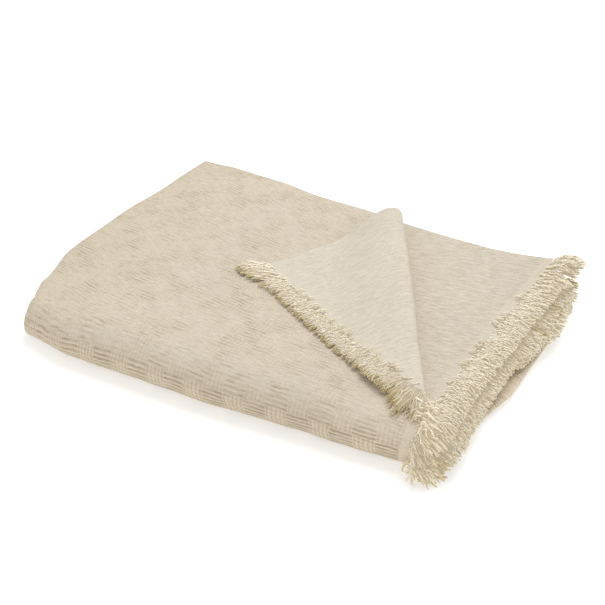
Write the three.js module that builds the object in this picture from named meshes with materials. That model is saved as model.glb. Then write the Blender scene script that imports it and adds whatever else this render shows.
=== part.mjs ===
// Sofa throw: one woven cloth with a cut fringe on both short ends, folded into a pile of sixteen
// sheets, with the loose corner of the top sheet turned back.
// Millimetres. +X runs along the pile to its fringed end, +Y from the front fold to the back, +Z up.
import * as THREE from 'three';

// ---- driving sizes ----
const LENGTH = 500;        // left folds to the ends of the cloth
const DEPTH = 380;         // front fold to the back edges
const SHEET = 2.5;         // thickness of the cloth
const PITCH = 3.45;        // one sheet to the next in the pile
const FRINGE_LENGTH = 38;  // yarn beyond the end of the cloth
const FLAT_FRINGE = 30;    // the same where the yarns lie flat, on the pile and between its layers
const FLAP_FRINGE = 20;    // the same on the turned-back corner
const CURL_FRINGE = 15;    // the same where it curls round the foot of the corner's roll
const FRINGE_THICK = 2.5;  // thickness of the fringe at its root
const TIP_THICK = 1.6;     // and at its tips
const FRINGE_BAND = 4;     // root of the fringe, where the yarns are still side by side
const TOOTH_PITCH = 26;    // one bunch of yarns to the next
const TIP_FILL = 0.7;      // share of the pitch a bunch takes at its tip
const CLEAR = 0.3;         // gap between the cloth and its fringe

// ---- the strip: four sheets made by the first two folds ----
const LEFT_TURN = 2 * PITCH;              // centre line of the left folds
const A_SHEET = 1.5 * PITCH;              // height of end A's sheet above the middle of the strip
const B_SHEET = 0.5 * PITCH;              // height of end B's sheet

// ---- the strip's path across the pile, from the back edge of the top layer ----
const FRONT_TURN = 8 * PITCH;             // centre line of the two front folds
const BACK_TURN = DEPTH - 4 * PITCH;      // centre line of the back fold
const INNER_BACK = DEPTH - 6;             // back edge of the second layer
const TOP_RUN = DEPTH - FRONT_TURN;
const LOW_RUN = BACK_TURN - FRONT_TURN;
const acrossPath = [
  // kind, from y, to y, level or centre z, radius, first angle, last angle, length along the path
  { kind: 'flat', y0: DEPTH, y1: FRONT_TURN, z: 14 * PITCH, up: 1, run: TOP_RUN },
  { kind: 'turn', y: FRONT_TURN, z: 8 * PITCH, r: 6 * PITCH, from: 90, to: 270, side: 1 },
  { kind: 'flat', y0: FRONT_TURN, y1: BACK_TURN, z: 2 * PITCH, up: -1, run: LOW_RUN },
  { kind: 'turn', y: BACK_TURN, z: 4 * PITCH, r: 2 * PITCH, from: -90, to: 90, side: 1 },
  { kind: 'flat', y0: BACK_TURN, y1: FRONT_TURN, z: 6 * PITCH, up: 1, run: LOW_RUN },
  { kind: 'turn', y: FRONT_TURN, z: 8 * PITCH, r: 2 * PITCH, from: 270, to: 90, side: -1 },
  { kind: 'flat', y0: FRONT_TURN, y1: INNER_BACK, z: 10 * PITCH, up: -1, run: INNER_BACK - FRONT_TURN },
];
let reach = 0;
for (const part of acrossPath) {
  part.run = part.run ?? Math.PI * part.r;
  part.start = reach;
  reach += part.run;
}
const ACROSS = reach;                     // width of the cloth

const lerp = (a, b, t) => a + (b - a) * t;
const clamp = (v, lo, hi) => Math.min(hi, Math.max(lo, v));
const smooth = (lo, hi, v) => {
  const t = clamp((v - lo) / (hi - lo), 0, 1);
  return t * t * (3 - 2 * t);
};

// Place on the strip's middle line at w along the path: y, z and the unit normal.
function across(w) {
  const last = acrossPath[acrossPath.length - 1];
  const part = acrossPath.find((p) => w <= p.start + p.run) ?? last;
  const t = (w - part.start) / part.run;
  if (part.kind === 'flat') {
    return { y: lerp(part.y0, part.y1, t), z: part.z, ny: 0, nz: part.up };
  }
  const a = THREE.MathUtils.degToRad(lerp(part.from, part.to, t));
  const cy = Math.cos(a);
  const cz = Math.sin(a);
  return { y: part.y + part.r * cy, z: part.z + part.r * cz, ny: part.side * cy, nz: part.side * cz };
}

// ---- where the ends and the right fold lie, by place across the cloth ----
const TOP_END = 501.6;                    // end A on the top sheet
const endTable = [
  // w along the path, end A, end B, right fold F: distance from the left side
  { w: 0, a: TOP_END, b: 505, f: 494 },
  { w: 120, a: TOP_END, b: 499, f: 494 },
  { w: 280, a: TOP_END, b: 498, f: 495 },
  { w: 350, a: TOP_END, b: 503, f: 496 },
  { w: 361, a: TOP_END, b: 503, f: 496.7 },
  { w: 417, a: 494, b: 504, f: 500 },
  { w: 470, a: 492, b: 492, f: 524 },
  { w: 560, a: 488, b: 488, f: 540 },
  { w: 700, a: 490, b: 490, f: 537 },
  { w: 777, a: 500, b: 498, f: 530 },
  { w: 890, a: 500, b: 500, f: 530 },
  { w: 1050, a: 506, b: 506, f: 516 },
  { w: 1116, a: 508, b: 508, f: 504 },
  { w: 1200, a: 506, b: 506, f: 498 },
  { w: 1500, a: 500, b: 498, f: 494 },
];
function endAt(w, column) {
  const i = clamp(endTable.findIndex((row) => row.w >= w), 1, endTable.length - 1);
  const lo = endTable[i - 1];
  const hi = endTable[i];
  return lerp(lo[column], hi[column], (w - lo.w) / (hi.w - lo.w));
}

// ---- the turned-back corner: a fold line across end A's top sheet ----
const FRONT_FACET = (Math.PI * 6 * PITCH) / 8;     // one facet of the top layer's front fold
const CREASE_FOOT = FRONT_TURN - FRONT_FACET;      // y where the fold line meets the fringed end
const CREASE_HEAD = 296;                           // x where the fold line meets the back edge
const creaseX = TOP_END - CREASE_HEAD;
const creaseY = DEPTH - CREASE_FOOT;
const CREASE = Math.hypot(creaseX, creaseY);
const ALONG = { x: -creaseX / CREASE, y: creaseY / CREASE };
const OVER = { x: creaseY / CREASE, y: creaseX / CREASE };
const ROLL_FOOT = 6.1;                    // radius of the roll at its foot and head
const ROLL_HEAD = 14;
const ROLL_GROWTH = (ROLL_HEAD - ROLL_FOOT) / CREASE;
const REST = 4.6;                         // height of the settled flap above the top sheet
const SETTLE = 75;                        // length in which it comes down
const STRETCH = 1.05;                     // give of the weave where it is turned back
const DRIFT = 0.147;                      // slip of the flap toward the front per mm turned back
const TALL = 0.35;                        // how much taller than wide the roll is at its head
const SHOULDER = 0.5;                     // power that squares the roll's upper half
const TURN_EASE = 28;                     // length in which the roll dies out toward the front fold
const rollRadius = (a) => ROLL_FOOT + ROLL_GROWTH * a;

// Strip place of a point of end A's top sheet that lies at x, y before the corner is turned.
function turnBack(x, y, h) {
  const dx = x - TOP_END;
  const dy = y - CREASE_FOOT;
  const a = dx * ALONG.x + dy * ALONG.y;
  const d = (dx * OVER.x + dy * OVER.y)
    * smooth(FRONT_TURN - TURN_EASE, FRONT_TURN + 1.4 * TURN_EASE, y);
  if (d <= 0) {
    return { x, y, h };
  }
  const r = rollRadius(Math.max(0, a));
  const e = h - A_SHEET;
  const turn = Math.min(Math.PI, d / r);
  const past = Math.max(0, d - Math.PI * r);
  const bulge = turn > Math.PI / 2 ? Math.max(0, Math.sin(turn)) ** SHOULDER : Math.sin(turn);
  const out = (r - e) * bulge - past * STRETCH;
  const tall = r * (1 + TALL * clamp(a / CREASE, 0, 1) ** 2);
  const drop = smooth(0, SETTLE, past) * (2 * tall - REST);
  const rise = tall - (tall - e) * Math.cos(turn) - drop;
  const along = a - past * DRIFT;
  return {
    x: x + OVER.x * (out - d) + ALONG.x * (along - a),
    y: y + OVER.y * (out - d) + ALONG.y * (along - a),
    h: A_SHEET + rise,
  };
}

// ---- how the pile has settled: smooth over the whole pile, so sheets keep their order ----
const HEIGHT = 16 * PITCH;
const FLOOR = (PITCH - SHEET) / 2;
function bell(x, y, cx, cy, rx, ry) {
  return Math.exp(-(((x - cx) / rx) ** 2) - ((y - cy) / ry) ** 2);
}
const leftTable = [
  // y, shift of the left end in x
  { y: 0, dx: 32 },
  { y: 25, dx: 21 },
  { y: 60, dx: 8 },
  { y: 130, dx: -6 },
  { y: 220, dx: -4 },
  { y: 310, dx: 4 },
  { y: 400, dx: 8 },
];
const frontTable = [
  // x, shift of the front fold in y
  { x: 0, dy: 4 },
  { x: 90, dy: -8 },
  { x: 250, dy: -5 },
  { x: 420, dy: 6 },
  { x: 500, dy: 12 },
  { x: 600, dy: 12 },
];
const backTable = [
  // x, shift of the back edges in y
  { x: 0, dy: 8 },
  { x: 60, dy: 12 },
  { x: 130, dy: 9 },
  { x: 200, dy: 1 },
  { x: 400, dy: -5 },
  { x: 600, dy: -5 },
];
// Value of a column of a table at a place, eased from row to row.
function fromTable(table, place, column, at) {
  const i = clamp(table.findIndex((row) => row[place] >= at), 1, table.length - 1);
  const lo = table[i - 1];
  const hi = table[i];
  return lerp(lo[column], hi[column], smooth(lo[place], hi[place], at));
}
const LEFT_ROUND = 16;                    // how far the top and bottom of the left end draw in
const BACK_ROUND = 6;
const LEFT_WEIGHT = 0.5;                  // how far the lowest sheets keep out of the left shift
const SPLAY = 13;                         // how far the fringe spreads in front of the pile
function settle(x, y, z) {
  const level = z / HEIGHT;
  const off = 2.8 * Math.max(0, level - 0.4) ** 2 + 2 * Math.max(0, 0.4 - level) ** 2;
  const left = clamp(1 - x / LENGTH, 0, 1.1);
  const front = clamp(1 - y / DEPTH, 0, 1.1);
  const back = clamp(y / DEPTH, 0, 1.1);
  const held = 1 - LEFT_WEIGHT * Math.max(0, 0.4 - level);
  const nx = x + left ** 4 * (fromTable(leftTable, 'y', 'dx', y) * held + LEFT_ROUND * off);
  const ny = y + front ** 3 * fromTable(frontTable, 'x', 'dy', x)
    + back ** 3 * (fromTable(backTable, 'x', 'dy', x) - BACK_ROUND * off);
  const beyond = clamp((x - 501) / 40, 0, 1.2) ** 2;
  const low = 0.06 * bell(x, y, 0, 0, 120, 110) + 0.04 * back ** 6 * (1 - left ** 4)
    + 0.12 * beyond * front ** 5;
  const corner = 33 * bell(x, y, 585, 400, 85, 80) + 2 * beyond * back ** 8;
  const up = Math.max(0, z - FLOOR);
  return [nx, ny - SPLAY * beyond * front ** 5, up * (1 - low) + corner * (up / HEIGHT) ** 2];
}

// Space place of a strip point; the turned corner belongs to end A's sheet in the top layer.
function place(x, w, h, turned) {
  if (turned && w < TOP_RUN + TURN_EASE) {
    const t = turnBack(x, DEPTH - w, h);
    return place(t.x, DEPTH - t.y, t.h, false);
  }
  const m = across(w);
  return settle(x, m.y + m.ny * h, m.z + m.nz * h);
}

// ---- the strip's path along the pile, as sections in order from end A to end B ----
const lengthPath = [
  // kind, height above the middle of the strip, direction of travel in x
  { kind: 'flat', h: A_SHEET, travel: -1, end: 'a', steps: 5 },
  { kind: 'turn', side: 'left', r: A_SHEET, h: 0, from: 90, to: 270, out: 1, steps: 6 },
  { kind: 'flat', h: -A_SHEET, travel: 1, end: 'f', steps: 5 },
  { kind: 'turn', side: 'right', r: B_SHEET, h: -PITCH, from: -90, to: 90, out: 1, steps: 4 },
  { kind: 'flat', h: -B_SHEET, travel: -1, end: 'f', steps: 5 },
  { kind: 'turn', side: 'left', r: B_SHEET, h: 0, from: 270, to: 90, out: -1, steps: 4 },
  { kind: 'flat', h: B_SHEET, travel: 1, end: 'b', steps: 5 },
];
const rightLimit = (section, w) => {
  if (section.end === 'f') {
    return endAt(w, 'f') - PITCH;
  }
  if (section.end === 'a' && w < DEPTH - CREASE_FOOT) {
    return CREASE_HEAD + creaseX * (w / creaseY);
  }
  return endAt(w, section.end);
};

// Point at share t of a section, off to the face (+) or the reverse (-) of the cloth.
function clothPoint(section, t, w, off) {
  if (section.kind === 'flat') {
    const right = rightLimit(section, w);
    const x = section.travel < 0 ? lerp(right, LEFT_TURN, t) : lerp(LEFT_TURN, right, t);
    return place(x, w, section.h - section.travel * off, section.end === 'a');
  }
  const a = THREE.MathUtils.degToRad(lerp(section.from, section.to, t));
  const r = section.r + section.out * off;
  const cx = section.side === 'left' ? LEFT_TURN : endAt(w, 'f') - PITCH;
  return place(cx + r * Math.cos(a), w, section.h + r * Math.sin(a), false);
}

// ---- a sheet solid from cells in its own plane ----
class SheetSolid {
  constructor() {
    this.keys = new Map();
    this.face = [];
    this.back = [];
    this.tris = [];
  }

  vertex(point) {
    const f = point(1);
    const key = f.map((v) => v.toFixed(4)).join();
    if (!this.keys.has(key)) {
      this.keys.set(key, this.face.length);
      this.face.push(f);
      this.back.push(point(-1));
    }
    return this.keys.get(key);
  }

  tri(a, b, c) {
    if (a !== b && b !== c && a !== c) {
      this.tris.push([a, b, c]);
    }
  }

  quad(a, b, c, d, cross) {
    if (cross) {
      this.tri(a, b, d);
      this.tri(b, c, d);
    } else {
      this.tri(a, b, c);
      this.tri(a, c, d);
    }
  }

  geometry() {
    const out = [];
    const edges = new Map();
    for (const t of this.tris) {
      for (let i = 0; i < 3; i += 1) {
        out.push(...this.face[t[i]]);
      }
      for (let i = 2; i >= 0; i -= 1) {
        out.push(...this.back[t[i]]);
      }
      for (let i = 0; i < 3; i += 1) {
        const p = t[i];
        const q = t[(i + 1) % 3];
        if (!edges.delete(`${q}_${p}`)) {
          edges.set(`${p}_${q}`, [p, q]);
        }
      }
    }
    for (const [p, q] of edges.values()) {
      out.push(...this.face[q], ...this.face[p], ...this.back[p]);
      out.push(...this.face[q], ...this.back[p], ...this.back[q]);
    }
    const geometry = new THREE.BufferGeometry();
    geometry.setAttribute('position', new THREE.Float32BufferAttribute(out, 3));
    geometry.computeVertexNormals();
    return geometry;
  }
}

// ---- rows across the cloth, where its facets meet ----
const topRows = [42, 95, 170, 250, 320];
const lowRows = [95, 170, 250, 320];
const rows = [{ w: 0, sign: -1 }];
for (const part of acrossPath) {
  if (part.kind === 'flat') {
    const sign = Math.sign(part.y1 - part.y0);
    const ys = [...(part.start === 0 ? topRows : lowRows)].sort((p, q) => sign * (p - q));
    for (const y of [...ys, part.y1]) {
      rows.push({ w: part.start + Math.abs(y - part.y0), sign });
    }
  } else {
    const steps = part.r > 4 * PITCH ? 8 : 4;
    for (let i = 1; i <= steps; i += 1) {
      rows.push({ w: part.start + (part.run * i) / steps, sign: -1 });
    }
  }
}

// ---- the cloth ----
function buildCloth() {
  const solid = new SheetSolid();
  const half = SHEET / 2;
  for (const section of lengthPath) {
    for (let i = 0; i < section.steps; i += 1) {
      for (let j = 0; j + 1 < rows.length; j += 1) {
        const at = (di, dj) => {
          const t = (i + di) / section.steps;
          return solid.vertex((side) => clothPoint(section, t, rows[j + dj].w, side * half));
        };
        const cross = (section.travel ?? 1) * rows[j + 1].sign < 0;
        solid.quad(at(0, 0), at(1, 0), at(1, 1), at(0, 1), cross);
      }
    }
  }
  addFlap(solid, half);
  return solid.geometry();
}

// The flap's lines run side by side with the fold line, from the fringed end to the back edge.
const flapLines = [
  // angle round the roll, then the distance past it
  { angle: 0, past: 0 },
  { angle: 30, past: 0 },
  { angle: 60, past: 0 },
  { angle: 90, past: 0 },
  { angle: 120, past: 0 },
  { angle: 150, past: 0 },
  { angle: 180, past: 0 },
  { angle: 180, past: 18 },
  { angle: 180, past: 38 },
  { angle: 180, past: 62 },
  { angle: 180, past: 90 },
  { angle: 180, past: 120 },
];
const cornerAlong = creaseY * ALONG.y;
const cornerPast = creaseX * OVER.x - Math.PI * rollRadius(cornerAlong);
flapLines.push({ angle: 180, past: cornerPast });

function flapLineEnds({ angle, past }) {
  const turn = THREE.MathUtils.degToRad(angle);
  const grow = turn * ROLL_GROWTH;
  const up = (turn * ROLL_FOOT + past) / (OVER.y - ALONG.y * grow);
  const inward = (turn * ROLL_HEAD + past) / (OVER.x - ALONG.x * grow);
  return { y: CREASE_FOOT + up, x: CREASE_HEAD + inward };
}

function flapPoint(line, w, off) {
  const ends = flapLineEnds(line);
  const t = w / creaseY;
  const y = lerp(DEPTH, ends.y, t);
  const x = lerp(ends.x, TOP_END, t);
  return place(x, DEPTH - y, A_SHEET + off, true);
}

function addFlap(solid, half) {
  const edge = rows.filter((row) => row.w <= creaseY + 1e-6);
  for (let k = 0; k + 1 < flapLines.length; k += 1) {
    for (let j = 0; j + 1 < edge.length; j += 1) {
      const at = (dk, dj) => {
        const line = flapLines[k + 1 - dk];
        return solid.vertex((side) => flapPoint(line, edge[j + dj].w, side * half));
      };
      solid.quad(at(0, 0), at(1, 0), at(1, 1), at(0, 1), false);
    }
  }
}

// ---- a fringe: one comb that follows its end of the cloth ----
const noise = (i) => {
  const v = Math.sin(i * 12.9898) * 43758.5453;
  return v - Math.floor(v);
};

// End of the cloth at w, straight from one of its facets' edges to the next.
function edgeAt(w, end) {
  const i = clamp(rows.findIndex((row) => row.w >= w), 1, rows.length - 1);
  const t = (w - rows[i - 1].w) / (rows[i].w - rows[i - 1].w);
  return lerp(endAt(rows[i - 1].w, end), endAt(rows[i].w, end), t);
}

// Point of a fringe at w along the end, reach beyond the root, off to either side.
function fringePoint(end, w, reach, off) {
  const x = edgeAt(w, end) + CLEAR + reach;
  return place(x, w, (end === 'a' ? A_SHEET : B_SHEET) + off, end === 'a');
}

// Reach of the yarn by place: full at the corners of the pile, shorter where it lies flat along its
// side or hangs over its front, and shortest where end A curls round the roll.
function yarnLength(end, w) {
  const { y } = across(w);
  const along = smooth(30, 90, y) * (1 - smooth(DEPTH - 130, DEPTH - 50, y));
  const hang = 1 - smooth(20, 60, Math.abs(w - 398));
  const length = lerp(FRINGE_LENGTH, FLAT_FRINGE, Math.max(along, hang));
  if (end === 'b') {
    return length;
  }
  const onTop = 1 - smooth(TOP_RUN, TOP_RUN + 50, w);
  const curl = 1 - smooth(14, 55, Math.abs(w - 339));
  return lerp(lerp(length, FLAP_FRINGE, onTop), CURL_FRINGE, curl);
}

// Places along an end where its bunches of yarn meet.
function bunches(end) {
  const stops = rows.map((row) => row.w);
  const bends = flapLines.map((line) => DEPTH - flapLineEnds(line).y);
  const near = end === 'a' ? bends.filter((w) => w > 200) : [];
  const marks = [...stops, ...near].sort((p, q) => p - q);
  const out = [marks[0]];
  for (const mark of marks.slice(1)) {
    const from = out[out.length - 1];
    const count = Math.round((mark - from) / TOOTH_PITCH);
    if (mark - from > 2.5) {
      for (let i = 1; i < count; i += 1) {
        out.push(lerp(from, mark, i / count));
      }
      out.push(mark);
    }
  }
  return out;
}

function buildFringe(end) {
  const solid = new SheetSolid();
  const marks = bunches(end);
  for (let i = 0; i + 1 < marks.length; i += 1) {
    const from = marks[i];
    const to = marks[i + 1];
    const trim = ((to - from) * (1 - TIP_FILL)) / 2;
    const sway = (noise(i) - 0.5) * 0.9 * trim;
    const curled = end === 'a' && from > 290 && from < 385;
    const tip = yarnLength(end, (from + to) / 2) * (0.92 + 0.08 * noise(i + 50));
    const shares = curled ? [0, 0.12, 0.24, 0.36, 0.48, 0.7, 1] : [0, 0.5, 1];
    const rings = shares.map((share) => {
      const thick = lerp(FRINGE_THICK, TIP_THICK, share);
      const reach = lerp(FRINGE_BAND, tip, share);
      return [from + share * (trim + sway), to - share * (trim - sway)].map((w) =>
        solid.vertex((side) => fringePoint(end, w, reach, (side * thick) / 2)));
    });
    rings.unshift([from, to].map((w) =>
      solid.vertex((side) => fringePoint(end, w, 0, (side * FRINGE_THICK) / 2))));
    rings.reverse();
    for (let k = 0; k + 1 < rings.length; k += 1) {
      solid.quad(rings[k][0], rings[k + 1][0], rings[k + 1][1], rings[k][1], curled);
    }
  }
  return solid.geometry();
}

const group = new THREE.Group();
group.name = 'sofa_throw';
function addPart(name, geometry, color) {
  const mesh = new THREE.Mesh(geometry, new THREE.MeshStandardMaterial({ color, roughness: 0.95 }));
  mesh.name = name;
  mesh.material.name = `${name}_cotton`;
  group.add(mesh);
}
addPart('throw_cloth', buildCloth(), 0xded2be);
addPart('fringe_end_a', buildFringe('a'), 0xe2d8ba);
addPart('fringe_end_b', buildFringe('b'), 0xe2d8ba);

// The frame's origin is the middle of the bottom of the whole throw.
const box = new THREE.Box3().setFromObject(group);
const middle = box.getCenter(new THREE.Vector3());
group.position.set(-middle.x, -middle.y, -box.min.z);

export default group;
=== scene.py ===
"""Looks of a folded sofa throw: a woven cloth with a cut fringe on both short ends, laid in a pile
with the loose corner of the top sheet turned back. The cloth is one flat sheet that is folded by the
same steps as the solid it stands for, and each fringe is one mesh of separate yarns."""

import math
from types import SimpleNamespace

import bmesh
import bpy
import numpy as np
from bpy.props import FloatProperty, FloatVectorProperty, IntProperty, PointerProperty
from mathutils import Matrix, Vector


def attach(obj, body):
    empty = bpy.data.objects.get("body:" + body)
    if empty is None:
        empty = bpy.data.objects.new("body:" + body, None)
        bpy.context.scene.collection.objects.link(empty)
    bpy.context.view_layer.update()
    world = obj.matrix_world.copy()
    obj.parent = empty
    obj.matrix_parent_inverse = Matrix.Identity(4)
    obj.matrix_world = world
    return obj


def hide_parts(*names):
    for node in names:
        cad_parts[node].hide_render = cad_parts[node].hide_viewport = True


bl_info = {
    "name": "Folded Throw",
    "version": (1, 0, 0),
    "blender": (4, 5, 0),
    "location": "3D View > Sidebar > Throw",
    "description": "A woven throw with fringed ends, folded in a pile with one corner turned back",
    "category": "Object",
}

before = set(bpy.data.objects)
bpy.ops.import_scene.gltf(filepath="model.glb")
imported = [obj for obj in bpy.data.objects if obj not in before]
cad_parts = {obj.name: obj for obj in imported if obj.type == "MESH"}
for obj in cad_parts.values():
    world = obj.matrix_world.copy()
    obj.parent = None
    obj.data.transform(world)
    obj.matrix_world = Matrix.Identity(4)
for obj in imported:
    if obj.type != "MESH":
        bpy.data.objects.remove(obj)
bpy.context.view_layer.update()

# ---- sizes of the folded pile, in millimetres from its left front corner ----
MM = 0.001
ORIGIN = np.array((270.7494, 190.8296, 0.0))
LENGTH = 500.0
DEPTH = 380.0
PITCH = 3.45
CLEAR = 0.3
LEFT_TURN = 2 * PITCH
A_SHEET = 1.5 * PITCH
B_SHEET = 0.5 * PITCH
FRONT_TURN = 8 * PITCH
BACK_TURN = DEPTH - 4 * PITCH
INNER_BACK = DEPTH - 6
TOP_RUN = DEPTH - FRONT_TURN
LOW_RUN = BACK_TURN - FRONT_TURN
FRONT_RUN = 6 * PITCH * math.pi
INNER_RUN = 2 * PITCH * math.pi
SOLID_SHEET = 2.5
FLOOR = (PITCH - SOLID_SHEET) / 2

# The path across the pile, from the back edge of the top layer. A flat part runs from y0 to y1 at
# level z with its normal up or down; a turn goes round y, z from angle a0 to a1 at radius r.
ACROSS_PATH = (
    {"run": TOP_RUN, "y0": DEPTH, "y1": FRONT_TURN, "z": 14 * PITCH, "side": 1},
    {"run": FRONT_RUN, "y": FRONT_TURN, "z": 8 * PITCH, "r": 6 * PITCH, "a0": 90, "a1": 270, "side": 1},
    {"run": LOW_RUN, "y0": FRONT_TURN, "y1": BACK_TURN, "z": 2 * PITCH, "side": -1},
    {"run": INNER_RUN, "y": BACK_TURN, "z": 4 * PITCH, "r": 2 * PITCH, "a0": -90, "a1": 90, "side": 1},
    {"run": LOW_RUN, "y0": BACK_TURN, "y1": FRONT_TURN, "z": 6 * PITCH, "side": 1},
    {"run": INNER_RUN, "y": FRONT_TURN, "z": 8 * PITCH, "r": 2 * PITCH, "a0": 270, "a1": 90, "side": -1},
    {"run": INNER_BACK - FRONT_TURN, "y0": FRONT_TURN, "y1": INNER_BACK, "z": 10 * PITCH, "side": -1},
)
ACROSS = sum(part["run"] for part in ACROSS_PATH)

# Place across the cloth, then where end A, end B and the right fold lie from the left side.
TOP_END = 501.6
END_TABLE = {
    "w": (0, 120, 280, 350, 361, 417, 470, 560, 700, 777, 890, 1050, 1116, 1200, 1500),
    "a": (*(TOP_END,) * 5, 494, 492, 488, 490, 500, 500, 506, 508, 506, 500),
    "b": (505, 499, 498, 503, 503, 504, 492, 488, 490, 498, 500, 506, 508, 506, 498),
    "f": (494, 494, 495, 496, 496.7, 500, 524, 540, 537, 530, 530, 516, 504, 498, 494),
}

# The turned-back corner: a fold line from the fringed end to the back edge.
CREASE_FOOT = FRONT_TURN - FRONT_RUN / 8
CREASE_HEAD = 296.0
CREASE_X = TOP_END - CREASE_HEAD
CREASE_Y = DEPTH - CREASE_FOOT
CREASE = math.hypot(CREASE_X, CREASE_Y)
ALONG = (-CREASE_X / CREASE, CREASE_Y / CREASE)
OVER = (CREASE_Y / CREASE, CREASE_X / CREASE)
ROLL_FOOT = 6.1
ROLL_HEAD = 14.0
ROLL_GROWTH = (ROLL_HEAD - ROLL_FOOT) / CREASE
REST = 4.6
SETTLE = 75.0
STRETCH = 1.05
DRIFT = 0.147
TALL = 0.35
SHOULDER = 0.5
TURN_EASE = 28.0

# How the pile has settled. Its sides shift by the tables, on the left less for the lowest sheets, and
# draw in above and below the fullest level, a share of the height. Its end splays out at the front,
# and its corners sink or rise.
HEIGHT = 16 * PITCH
FULLEST = 0.4
ROUND_ABOVE = 2.8
ROUND_BELOW = 2.0
LEFT_TABLE = {"y": (0, 25, 60, 130, 220, 310, 400), "dx": (32, 21, 8, -6, -4, 4, 8)}
LEFT_ROUND = 16.0
LEFT_WEIGHT = 0.5
FRONT_TABLE = {"x": (0, 90, 250, 420, 500, 600), "dy": (4, -8, -5, 6, 12, 12)}
BACK_TABLE = {"x": (0, 60, 130, 200, 400, 600), "dy": (8, 12, 9, 1, -5, -5)}
BACK_ROUND = 6.0
SPLAY = 13.0
SPLAY_FROM = 501.0
SPLAY_RUN = 40.0
LEFT_SINK = 0.06
BACK_SINK = 0.04
SPLAY_SINK = 0.12
CORNER_RISE = 33.0
BACK_RISE = 2.0

# Waves of the woven sheet, in millimetres and radians: length, direction, phase and height.
PUCKERS = (
    (61, 0.35, 0.4, 0.16), (47, 1.9, 2.1, 0.14), (83, 1.2, 4.0, 0.16),
    (34, 2.6, 1.3, 0.09), (29, 0.8, 5.2, 0.08), (120, 2.2, 3.3, 0.12),
)
TOP_SKEW = -0.10
CORNER_SKEW = 0.30
LEFT_SLIP = 24
RIGHT_SKEW = 0.20
FOLD_REACH = 150.0
FAR_FROM_END = 999.0
SHARP_EDGE = math.radians(62)

# The studio, in metres. The camera aims at a place in the pile, given in millimetres, and then moves
# right and up of it by the framing.
FLOOR_SIDE = 12.0
LAMP_SIZE = 1.6
LAMP_PLACE = (0.25, 0.55, 2.0)
LAMP_COLOUR = (1.0, 0.985, 0.96)
AIM = np.array((250.0, 194.0, 27.7))
FRAMING = (0.023, -0.009)


# ---- sizes and colours that a user would change ----
class ThrowSizes(bpy.types.PropertyGroup):
    """Sizes of the cloth and its fringe."""

    cloth: FloatProperty(
        name="Cloth Thickness", description="Thickness of the woven cloth",
        default=0.0024, min=0.001, max=0.003, unit="LENGTH",
    )
    block: FloatProperty(
        name="Weave Block", description="Side of one block of the basket weave",
        default=0.024, min=0.01, max=0.05, unit="LENGTH",
    )
    relief: FloatProperty(
        name="Weave Relief", description="How far the ribs of the weave stand proud",
        default=0.0008, min=0.0, max=0.002, unit="LENGTH",
    )
    yarn: FloatProperty(
        name="Fringe Yarn", description="Diameter of one yarn of the fringe",
        default=0.0020, min=0.001, max=0.004, unit="LENGTH",
    )
    fringe: FloatProperty(
        name="Fringe Length", description="Length of the yarns beyond the cloth",
        default=0.038, min=0.01, max=0.08, unit="LENGTH",
    )
    yarns: IntProperty(
        name="Yarns in a Fringe", description="Number of yarns along one end of the cloth",
        default=5200, min=100, max=5260,
    )


class ThrowColours(bpy.types.PropertyGroup):
    """Colours of the cloth, its fringe and the floor."""

    face: FloatVectorProperty(
        name="Cloth Face", description="Colour of the patterned side of the cloth",
        subtype="COLOR", size=3, default=(0.606, 0.536, 0.432), min=0, max=1,
    )
    reverse: FloatVectorProperty(
        name="Cloth Reverse", description="Colour of the plain side of the cloth",
        subtype="COLOR", size=3, default=(0.615, 0.556, 0.462), min=0, max=1,
    )
    # painted shade: goes between the ribs of the weave, and also colours its real broken lines
    groove: FloatVectorProperty(
        name="Groove Shade and Dashes", description="Colour between the ribs of the weave",
        subtype="COLOR", size=3, default=(0.40, 0.31, 0.19), min=0, max=1,
    )
    fringe: FloatVectorProperty(
        name="Fringe Yarn", description="Colour of the fringe at its tips",
        subtype="COLOR", size=3, default=(0.38, 0.328, 0.245), min=0, max=1,
    )
    # painted shade: goes at the roots and between the yarns, where they crowd in shade
    root: FloatVectorProperty(
        name="Fringe Root Shade", description="Colour of the fringe between its yarns",
        subtype="COLOR", size=3, default=(0.27, 0.235, 0.12), min=0, max=1,
    )
    floor: FloatVectorProperty(
        name="Floor", description="Colour of the floor",
        subtype="COLOR", size=3, default=(0.70, 0.70, 0.70), min=0, max=1,
    )


class ThrowStudio(bpy.types.PropertyGroup):
    """Where the camera stands and how bright the room is."""

    turn: FloatProperty(
        name="Camera Turn", description="Angle of the camera round the throw from its front",
        default=math.radians(29.9), subtype="ANGLE",
    )
    tilt: FloatProperty(
        name="Camera Height", description="Angle of the camera above the floor",
        default=math.radians(33.0), subtype="ANGLE",
    )
    away: FloatProperty(
        name="Camera Distance", description="Distance of the camera from the throw",
        default=1.575, min=0.5, unit="LENGTH",
    )
    lens: FloatProperty(
        name="Focal Length", description="Focal length of the camera",
        default=83.3, min=20, max=200, unit="CAMERA",
    )
    room: FloatProperty(
        name="Room Light", description="Strength of the even light of the room",
        default=0.76, min=0, max=5,
    )
    glow: FloatProperty(
        name="Floor Light", description="Strength of the even light of the floor",
        default=0.46, min=0, max=2,
    )
    lamp: FloatProperty(
        name="Lamp Light", description="Power of the large soft lamp",
        default=22.0, min=0, max=500, unit="POWER",
    )


# ---- the folds, worked out for whole arrays of places at once ----
def smooth(low, high, value):
    """0 up to low and 1 from high on, eased between them; high may be the smaller one."""
    t = np.clip((value - low) / (high - low), 0, 1)
    return t * t * (3 - 2 * t)


def bell(x, y, cx, cy, rx, ry):
    """1 at the centre, dying out all round."""
    return np.exp(-(((x - cx) / rx) ** 2) - ((y - cy) / ry) ** 2)


def hump(value, middle, wide):
    """1 in the middle, dying out on both sides."""
    return np.exp(-2 * ((value - middle) / wide) ** 2)


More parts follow.
